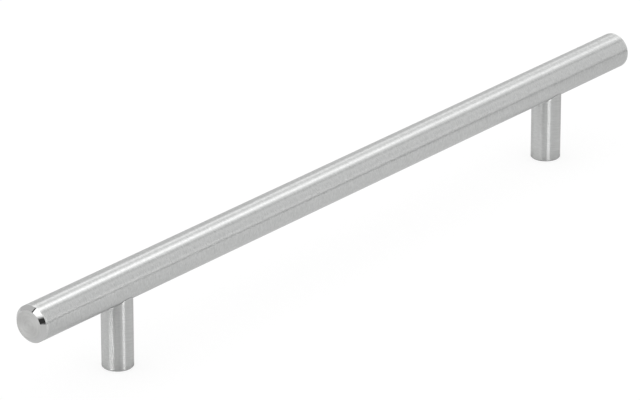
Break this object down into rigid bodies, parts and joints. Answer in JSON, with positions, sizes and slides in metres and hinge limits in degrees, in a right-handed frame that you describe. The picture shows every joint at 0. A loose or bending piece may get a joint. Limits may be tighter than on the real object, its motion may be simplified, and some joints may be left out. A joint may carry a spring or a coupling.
{
  "type": "t bar cabinet pull",
  "caption": "Straight round steel bar on two round saddle-topped posts, tapped in their feet, pulled by the fingers to open a cabinet door or drawer.",
  "frame": {"origin": "on the door's face, midway between the two feet", "axes": "+X along the bar, +Z away from the door, +Y across the bar"},
  "size_m": [0.305, 0.012, 0.033],
  "materials": {
    "brushed_bar": "brushed round the bar, chamfers polished, end faces fine turned",
    "brushed_post": "brushed round the post, foot turned flat",
    "zinc_stud": "zinc plated steel screw"
  },
  "bodies": {
    "root": {"bar": "brushed_bar", "post_left": "brushed_post", "post_right": "brushed_post", "joining_stud_left": "zinc_stud", "joining_stud_right": "zinc_stud"}
  },
  "joints": []
}
